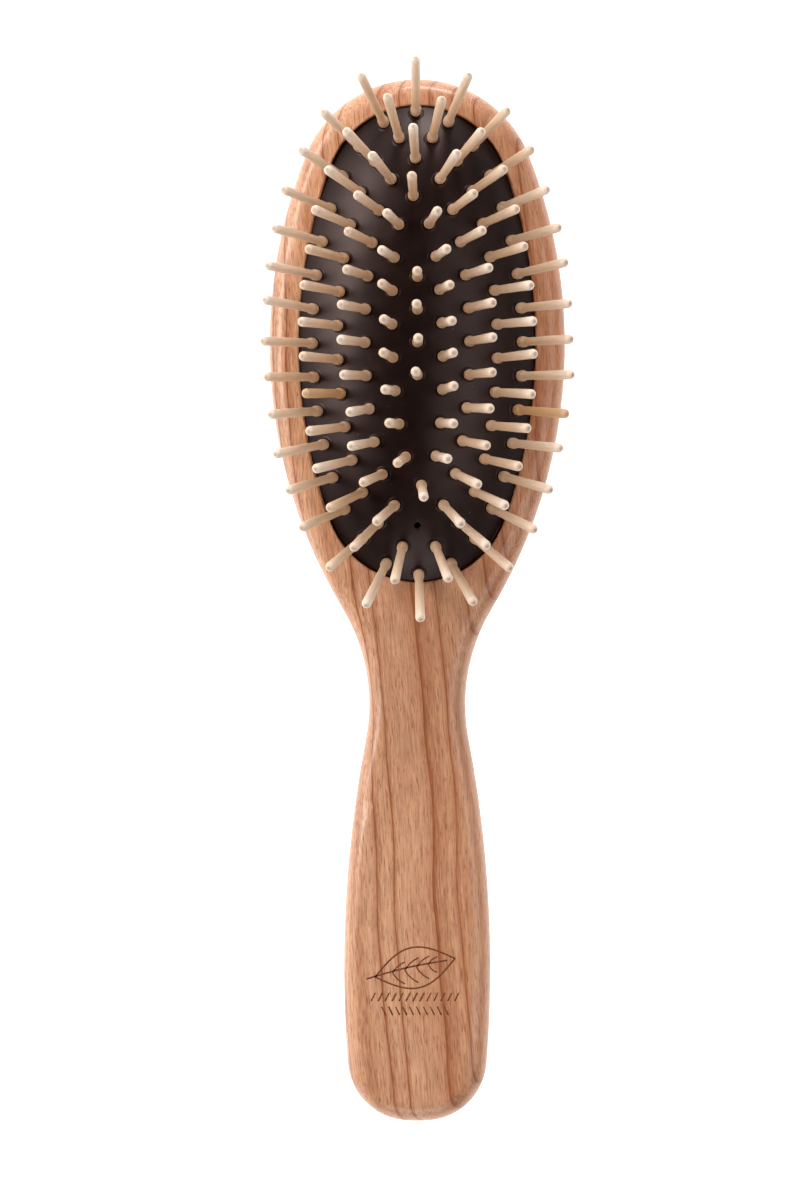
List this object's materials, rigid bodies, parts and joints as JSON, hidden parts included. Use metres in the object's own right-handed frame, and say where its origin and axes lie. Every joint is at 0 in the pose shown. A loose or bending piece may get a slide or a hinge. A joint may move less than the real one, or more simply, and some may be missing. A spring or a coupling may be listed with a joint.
{
  "type": "hairbrush",
  "caption": "Oval hairbrush: a one-piece wooden head and handle, an air-filled domed rubber cushion, and rings of turned wooden pins that sink and rock.",
  "frame": {"origin": "on the flat back face of the head, under the middle of the cushion", "axes": "+X to the right seen from the pin side, +Y from the handle to the tip of the head, +Z out of the face, the way the pins point"},
  "size_m": [0.0668, 0.2284, 0.0426],
  "materials": {
    "ash_wood": "oiled ash, satin",
    "black_rubber": "moulded natural rubber, matt",
    "pin_wood": "turned hornbeam, polished tips"
  },
  "bodies": {
    "brush": {"wooden_body": "ash_wood", "rubber_cushion": "black_rubber"},
    "centre_pins_01": {"centre_pins_01": "pin_wood"},
    "centre_pins_02": {"centre_pins_02": "pin_wood"},
    "centre_pins_03": {"centre_pins_03": "pin_wood"},
    "centre_pins_04": {"centre_pins_04": "pin_wood"},
    "inner_pins_01": {"inner_pins_01": "pin_wood"},
    "inner_pins_02": {"inner_pins_02": "pin_wood"},
    "inner_pins_03": {"inner_pins_03": "pin_wood"},
    "inner_pins_04": {"inner_pins_04": "pin_wood"},
    "inner_pins_05": {"inner_pins_05": "pin_wood"},
    "inner_pins_06": {"inner_pins_06": "pin_wood"},
    "inner_pins_07": {"inner_pins_07": "pin_wood"},
    "inner_pins_08": {"inner_pins_08": "pin_wood"},
    "inner_pins_09": {"inner_pins_09": "pin_wood"},
    "middle_pins_01": {"middle_pins_01": "pin_wood"},
    "middle_pins_02": {"middle_pins_02": "pin_wood"},
    "middle_pins_03": {"middle_pins_03": "pin_wood"},
    "middle_pins_04": {"middle_pins_04": "pin_wood"},
    "middle_pins_05": {"middle_pins_05": "pin_wood"},
    "middle_pins_06": {"middle_pins_06": "pin_wood"},
    "middle_pins_07": {"middle_pins_07": "pin_wood"},
    "middle_pins_08": {"middle_pins_08": "pin_wood"},
    "middle_pins_09": {"middle_pins_09": "pin_wood"},
    "middle_pins_10": {"middle_pins_10": "pin_wood"},
    "middle_pins_11": {"middle_pins_11": "pin_wood"},
    "middle_pins_12": {"middle_pins_12": "pin_wood"},
    "outer_pins_01": {"outer_pins_01": "pin_wood"},
    "outer_pins_02": {"outer_pins_02": "pin_wood"},
    "outer_pins_03": {"outer_pins_03": "pin_wood"},
    "outer_pins_04": {"outer_pins_04": "pin_wood"},
    "outer_pins_05": {"outer_pins_05": "pin_wood"},
    "outer_pins_06": {"outer_pins_06": "pin_wood"},
    "outer_pins_07": {"outer_pins_07": "pin_wood"},
    "outer_pins_08": {"outer_pins_08": "pin_wood"},
    "outer_pins_09": {"outer_pins_09": "pin_wood"},
    "outer_pins_10": {"outer_pins_10": "pin_wood"},
    "outer_pins_11": {"outer_pins_11": "pin_wood"},
    "outer_pins_12": {"outer_pins_12": "pin_wood"},
    "outer_pins_13": {"outer_pins_13": "pin_wood"},
    "outer_pins_14": {"outer_pins_14": "pin_wood"},
    "rim_pins_01": {"rim_pins_01": "pin_wood"},
    "rim_pins_02": {"rim_pins_02": "pin_wood"},
    "rim_pins_03": {"rim_pins_03": "pin_wood"},
    "rim_pins_04": {"rim_pins_04": "pin_wood"},
    "rim_pins_05": {"rim_pins_05": "pin_wood"},
    "rim_pins_06": {"rim_pins_06": "pin_wood"},
    "rim_pins_07": {"rim_pins_07": "pin_wood"},
    "rim_pins_08": {"rim_pins_08": "pin_wood"},
    "rim_pins_09": {"rim_pins_09": "pin_wood"},
    "rim_pins_10": {"rim_pins_10": "pin_wood"},
    "rim_pins_11": {"rim_pins_11": "pin_wood"},
    "rim_pins_12": {"rim_pins_12": "pin_wood"},
    "rim_pins_13": {"rim_pins_13": "pin_wood"},
    "rim_pins_14": {"rim_pins_14": "pin_wood"},
    "rim_pins_15": {"rim_pins_15": "pin_wood"},
    "rim_pins_16": {"rim_pins_16": "pin_wood"}
  },
  "joints": [
    {"name": "centre_ring_press", "type": "slide", "parent": "brush", "child": "centre_pins_02", "axis": [0, 0, 1], "range_m": [-0.004, 0], "stiffness_N_per_m": 200, "deforming": ["rubber_cushion"]},
    {"name": "centre_pins_01_rock", "type": "hinge", "parent": "centre_pins_02", "child": "centre_pins_01", "pos_m": [0, 0.01389, 0.02305], "axis": [0, 1, 0], "range_deg": [-12, 12], "stiffness_Nm_per_rad": 0.06},
    {"name": "centre_pins_03_rock", "type": "hinge", "parent": "centre_pins_02", "child": "centre_pins_03", "pos_m": [0, -0.0001, 0.0231], "axis": [0, 1, 0], "range_deg": [-12, 12], "stiffness_Nm_per_rad": 0.06},
    {"name": "centre_pins_04_rock", "type": "hinge", "parent": "centre_pins_02", "child": "centre_pins_04", "pos_m": [0, -0.0071, 0.0231], "axis": [0, 1, 0], "range_deg": [-12, 12], "stiffness_Nm_per_rad": 0.06},
    {"name": "inner_ring_press", "type": "slide", "parent": "brush", "child": "inner_pins_03", "axis": [0, 0, 1], "range_m": [-0.00377, 0], "stiffness_N_per_m": 900},
    {"name": "inner_pins_01_rock", "type": "hinge", "parent": "inner_pins_03", "child": "inner_pins_01", "pos_m": [0.00077, 0.02808, 0.02212], "axis": [0.4755, -0.8746, 0.0949], "range_deg": [-12, 12], "stiffness_Nm_per_rad": 0.12},
    {"name": "inner_pins_02_rock", "type": "hinge", "parent": "inner_pins_03", "child": "inner_pins_02", "pos_m": [0.00414, 0.01465, 0.02274], "axis": [0.1177, -0.993, 0.0101], "range_deg": [-12, 12], "stiffness_Nm_per_rad": 0.12},
    {"name": "inner_pins_04_rock", "type": "hinge", "parent": "inner_pins_03", "child": "inner_pins_04", "pos_m": [0.00492, -0.01379, 0.02266], "axis": [-0.0632, -0.9979, -0.0153], "range_deg": [-12, 12], "stiffness_Nm_per_rad": 0.12},
    {"name": "inner_pins_05_rock", "type": "hinge", "parent": "inner_pins_03", "child": "inner_pins_05", "pos_m": [0.00228, -0.0274, 0.02212], "axis": [-0.4273, -0.9016, -0.0673], "range_deg": [-12, 12], "stiffness_Nm_per_rad": 0.12},
    {"name": "inner_pins_06_rock", "type": "hinge", "parent": "inner_pins_03", "child": "inner_pins_06", "pos_m": [-0.00305, -0.02106, 0.02261], "axis": [-0.1902, 0.9812, 0.0329], "range_deg": [-12, 12], "stiffness_Nm_per_rad": 0.12},
    {"name": "inner_pins_07_rock", "type": "hinge", "parent": "inner_pins_03", "child": "inner_pins_07", "pos_m": [-0.00481, -0.00697, 0.02278], "axis": [-0.0687, 0.9976, -0.0001], "range_deg": [-12, 12], "stiffness_Nm_per_rad": 0.12},
    {"name": "inner_pins_08_rock", "type": "hinge", "parent": "inner_pins_03", "child": "inner_pins_08", "pos_m": [-0.00519, 0.00728, 0.02273], "axis": [0.0141, 0.9999, -0.0076], "range_deg": [-12, 12], "stiffness_Nm_per_rad": 0.12},
    {"name": "inner_pins_09_rock", "type": "hinge", "parent": "inner_pins_03", "child": "inner_pins_09", "pos_m": [-0.00421, 0.02145, 0.02244], "axis": [0.1373, 0.9897, -0.0397], "range_deg": [-12, 12], "stiffness_Nm_per_rad": 0.12},
    {"name": "middle_ring_press", "type": "slide", "parent": "brush", "child": "middle_pins_02", "axis": [0, 0, 1], "range_m": [-0.00322, 0], "stiffness_N_per_m": 1150},
    {"name": "middle_pins_01_rock", "type": "hinge", "parent": "middle_pins_02", "child": "middle_pins_01", "pos_m": [0.00209, 0.03684, 0.02027], "axis": [0.7476, -0.653, 0.1216], "range_deg": [-12, 12], "stiffness_Nm_per_rad": 0.12},
    {"name": "middle_pins_03_rock", "type": "hinge", "parent": "middle_pins_02", "child": "middle_pins_03", "pos_m": [0.01018, 0.01073, 0.02164], "axis": [0.0895, -0.996, 0.0036], "range_deg": [-12, 12], "stiffness_Nm_per_rad": 0.12},
    {"name": "middle_pins_04_rock", "type": "hinge", "parent": "middle_pins_02", "child": "middle_pins_04", "pos_m": [0.0107, -0.00344, 0.02163], "axis": [-0.0153, -0.9999, -0.0034], "range_deg": [-12, 12], "stiffness_Nm_per_rad": 0.12},
    {"name": "middle_pins_05_rock", "type": "hinge", "parent": "middle_pins_02", "child": "middle_pins_05", "pos_m": [0.00969, -0.01757, 0.02148], "axis": [-0.1313, -0.9912, -0.0196], "range_deg": [-12, 12], "stiffness_Nm_per_rad": 0.12},
    {"name": "middle_pins_06_rock", "type": "hinge", "parent": "middle_pins_02", "child": "middle_pins_06", "pos_m": [0.0065, -0.03127, 0.02084], "axis": [-0.3466, -0.9345, -0.0812], "range_deg": [-12, 12], "stiffness_Nm_per_rad": 0.12},
    {"name": "middle_pins_07_rock", "type": "hinge", "parent": "middle_pins_02", "child": "middle_pins_07", "pos_m": [-0.00586, -0.0314, 0.02097], "axis": [-0.3653, 0.9271, 0.0835], "range_deg": [-12, 12], "stiffness_Nm_per_rad": 0.12},
    {"name": "middle_pins_08_rock", "type": "hinge", "parent": "middle_pins_02", "child": "middle_pins_08", "pos_m": [-0.00933, -0.01777, 0.02158], "axis": [-0.1516, 0.9883, 0.0146], "range_deg": [-12, 12], "stiffness_Nm_per_rad": 0.12},
    {"name": "middle_pins_09_rock", "type": "hinge", "parent": "middle_pins_02", "child": "middle_pins_09", "pos_m": [-0.01063, -0.00367, 0.02165], "axis": [-0.0359, 0.9994, -0.0019], "range_deg": [-12, 12], "stiffness_Nm_per_rad": 0.12},
    {"name": "middle_pins_10_rock", "type": "hinge", "parent": "middle_pins_02", "child": "middle_pins_10", "pos_m": [-0.0104, 0.01051, 0.02158], "axis": [0.069, 0.9976, -0.0087], "range_deg": [-12, 12], "stiffness_Nm_per_rad": 0.12},
    {"name": "middle_pins_11_rock", "type": "hinge", "parent": "middle_pins_02", "child": "middle_pins_11", "pos_m": [-0.00847, 0.02454, 0.02127], "axis": [0.2129, 0.9762, -0.0407], "range_deg": [-12, 12], "stiffness_Nm_per_rad": 0.12},
    {"name": "middle_pins_12_rock", "type": "hinge", "parent": "middle_pins_02", "child": "middle_pins_12", "pos_m": [-0.00528, 0.03456, 0.02056], "axis": [0.733, 0.6802, 0], "range_deg": [-12, 12], "stiffness_Nm_per_rad": 0.06},
    {"name": "outer_ring_press", "type": "slide", "parent": "brush", "child": "outer_pins_02", "axis": [0, 0, 1], "range_m": [-0.0023, 0], "stiffness_N_per_m": 1400},
    {"name": "outer_pins_01_rock", "type": "hinge", "parent": "outer_pins_02", "child": "outer_pins_01", "pos_m": [0.00545, 0.04091, 0.01835], "axis": [0.6955, -0.7094, 0.1138], "range_deg": [-12, 12], "stiffness_Nm_per_rad": 0.12},
    {"name": "outer_pins_03_rock", "type": "hinge", "parent": "outer_pins_02", "child": "outer_pins_03", "pos_m": [0.01533, 0.01463, 0.01954], "axis": [0.1362, -0.9907, 0.0007], "range_deg": [-12, 12], "stiffness_Nm_per_rad": 0.12},
    {"name": "outer_pins_04_rock", "type": "hinge", "parent": "outer_pins_02", "child": "outer_pins_04", "pos_m": [0.01635, 0.00023, 0.0195], "axis": [0.0077, -1, -0.0029], "range_deg": [-12, 12], "stiffness_Nm_per_rad": 0.12},
    {"name": "outer_pins_05_rock", "type": "hinge", "parent": "outer_pins_02", "child": "outer_pins_05", "pos_m": [0.01555, -0.01418, 0.01946], "axis": [-0.1208, -0.9927, -0.0055], "range_deg": [-12, 12], "stiffness_Nm_per_rad": 0.12},
    {"name": "outer_pins_06_rock", "type": "hinge", "parent": "outer_pins_02", "child": "outer_pins_06", "pos_m": [0.01264, -0.02823, 0.01922], "axis": [-0.2942, -0.9552, -0.0322], "range_deg": [-12, 12], "stiffness_Nm_per_rad": 0.12},
    {"name": "outer_pins_07_rock", "type": "hinge", "parent": "outer_pins_02", "child": "outer_pins_07", "pos_m": [0.00607, -0.04062, 0.01832], "axis": [-0.6857, -0.7214, -0.097], "range_deg": [-12, 12], "stiffness_Nm_per_rad": 0.12},
    {"name": "outer_pins_08_rock", "type": "hinge", "parent": "outer_pins_02", "child": "outer_pins_08", "pos_m": [-0.00545, -0.04071, 0.01843], "axis": [-0.6958, 0.7098, 0.1102], "range_deg": [-12, 12], "stiffness_Nm_per_rad": 0.12},
    {"name": "outer_pins_09_rock", "type": "hinge", "parent": "outer_pins_02", "child": "outer_pins_09", "pos_m": [-0.0122, -0.02843, 0.01938], "axis": [-0.309, 0.9506, 0.0287], "range_deg": [-12, 12], "stiffness_Nm_per_rad": 0.12},
    {"name": "outer_pins_10_rock", "type": "hinge", "parent": "outer_pins_02", "child": "outer_pins_10", "pos_m": [-0.01533, -0.01443, 0.01955], "axis": [-0.1362, 0.9907, -0.0004], "range_deg": [-12, 12], "stiffness_Nm_per_rad": 0.12},
    {"name": "outer_pins_11_rock", "type": "hinge", "parent": "outer_pins_02", "child": "outer_pins_11", "pos_m": [-0.01635, -0.00003, 0.0195], "axis": [-0.0077, 1, -0.0036], "range_deg": [-12, 12], "stiffness_Nm_per_rad": 0.12},
    {"name": "outer_pins_12_rock", "type": "hinge", "parent": "outer_pins_02", "child": "outer_pins_12", "pos_m": [-0.01555, 0.01438, 0.01945], "axis": [0.1209, 0.9926, -0.0066], "range_deg": [-12, 12], "stiffness_Nm_per_rad": 0.12},
    {"name": "outer_pins_13_rock", "type": "hinge", "parent": "outer_pins_02", "child": "outer_pins_13", "pos_m": [-0.01264, 0.02843, 0.01918], "axis": [0.2942, 0.9551, -0.0343], "range_deg": [-12, 12], "stiffness_Nm_per_rad": 0.12},
    {"name": "outer_pins_14_rock", "type": "hinge", "parent": "outer_pins_02", "child": "outer_pins_14", "pos_m": [-0.00607, 0.04082, 0.01824], "axis": [0.6855, 0.7211, -0.1006], "range_deg": [-12, 12], "stiffness_Nm_per_rad": 0.12},
    {"name": "rim_ring_press", "type": "slide", "parent": "brush", "child": "rim_pins_02", "axis": [0, 0, 1], "range_m": [-0.00106, 0], "stiffness_N_per_m": 1600},
    {"name": "rim_pins_01_rock", "type": "hinge", "parent": "rim_pins_02", "child": "rim_pins_01", "pos_m": [0.00298, 0.04796, 0.01521], "axis": [0.9416, -0.3269, 0.0807], "range_deg": [-5, 12], "stiffness_Nm_per_rad": 0.12},
    {"name": "rim_pins_03_rock", "type": "hinge", "parent": "rim_pins_02", "child": "rim_pins_03", "pos_m": [0.01827, 0.02532, 0.0166], "axis": [0.2624, -0.965, 0.0015], "range_deg": [-12, 12], "stiffness_Nm_per_rad": 0.12},
    {"name": "rim_pins_04_rock", "type": "hinge", "parent": "rim_pins_02", "child": "rim_pins_04", "pos_m": [0.02091, 0.0111, 0.01652], "axis": [0.1064, -0.9943, -0.0107], "range_deg": [-12, 12], "stiffness_Nm_per_rad": 0.12},
    {"name": "rim_pins_05_rock", "type": "hinge", "parent": "rim_pins_02", "child": "rim_pins_05", "pos_m": [0.02148, -0.00339, 0.01643], "axis": [-0.0268, -0.9996, 0.0022], "range_deg": [-12, 12], "stiffness_Nm_per_rad": 0.12},
    {"name": "rim_pins_06_rock", "type": "hinge", "parent": "rim_pins_02", "child": "rim_pins_06", "pos_m": [0.02009, -0.01782, 0.01648], "axis": [-0.1674, -0.9859, 0.0028], "range_deg": [-12, 12], "stiffness_Nm_per_rad": 0.12},
    {"name": "rim_pins_07_rock", "type": "hinge", "parent": "rim_pins_02", "child": "rim_pins_07", "pos_m": [0.0164, -0.03177, 0.01639], "axis": [-0.3522, -0.9357, -0.0187], "range_deg": [-12, 12], "stiffness_Nm_per_rad": 0.12},
    {"name": "rim_pins_08_rock", "type": "hinge", "parent": "rim_pins_02", "child": "rim_pins_08", "pos_m": [0.00923, -0.04396, 0.01575], "axis": [-0.6816, -0.7279, -0.0756], "range_deg": [-12, 12], "stiffness_Nm_per_rad": 0.12},
    {"name": "rim_pins_09_rock", "type": "hinge", "parent": "rim_pins_02", "child": "rim_pins_09", "pos_m": [-0.00298, -0.04776, 0.01533], "axis": [-0.9418, 0.327, 0.0784], "range_deg": [-8, 12], "stiffness_Nm_per_rad": 0.12},
    {"name": "rim_pins_10_rock", "type": "hinge", "parent": "rim_pins_02", "child": "rim_pins_10", "pos_m": [-0.01293, -0.03842, 0.01637], "axis": [-0.4968, 0.8668, 0.0442], "range_deg": [-12, 12], "stiffness_Nm_per_rad": 0.12},
    {"name": "rim_pins_11_rock", "type": "hinge", "parent": "rim_pins_02", "child": "rim_pins_11", "pos_m": [-0.01827, -0.02512, 0.01664], "axis": [-0.2624, 0.965, -0.0004], "range_deg": [-12, 12], "stiffness_Nm_per_rad": 0.12},
    {"name": "rim_pins_12_rock", "type": "hinge", "parent": "rim_pins_02", "child": "rim_pins_12", "pos_m": [-0.02091, -0.0109, 0.01653], "axis": [-0.1064, 0.9943, -0.012], "range_deg": [-12, 12], "stiffness_Nm_per_rad": 0.12},
    {"name": "rim_pins_13_rock", "type": "hinge", "parent": "rim_pins_02", "child": "rim_pins_13", "pos_m": [-0.02148, 0.00359, 0.01642], "axis": [0.0268, 0.9996, 0.0012], "range_deg": [-12, 12], "stiffness_Nm_per_rad": 0.12},
    {"name": "rim_pins_14_rock", "type": "hinge", "parent": "rim_pins_02", "child": "rim_pins_14", "pos_m": [-0.02009, 0.01802, 0.01646], "axis": [0.1674, 0.9859, 0.0012], "range_deg": [-12, 12], "stiffness_Nm_per_rad": 0.12},
    {"name": "rim_pins_15_rock", "type": "hinge", "parent": "rim_pins_02", "child": "rim_pins_15", "pos_m": [-0.0164, 0.03196, 0.01634], "axis": [0.3522, 0.9357, -0.0213], "range_deg": [-12, 12], "stiffness_Nm_per_rad": 0.12},
    {"name": "rim_pins_16_rock", "type": "hinge", "parent": "rim_pins_02", "child": "rim_pins_16", "pos_m": [-0.00923, 0.04416, 0.01565], "axis": [0.6813, 0.7276, -0.0796], "range_deg": [-12, 12], "stiffness_Nm_per_rad": 0.12}
  ],
  "couplings": [
    {"joint": "inner_ring_press", "follows": "centre_ring_press", "ratio": 0.942},
    {"joint": "middle_ring_press", "follows": "centre_ring_press", "ratio": 0.805},
    {"joint": "outer_ring_press", "follows": "centre_ring_press", "ratio": 0.575},
    {"joint": "rim_ring_press", "follows": "centre_ring_press", "ratio": 0.266}
  ]
}
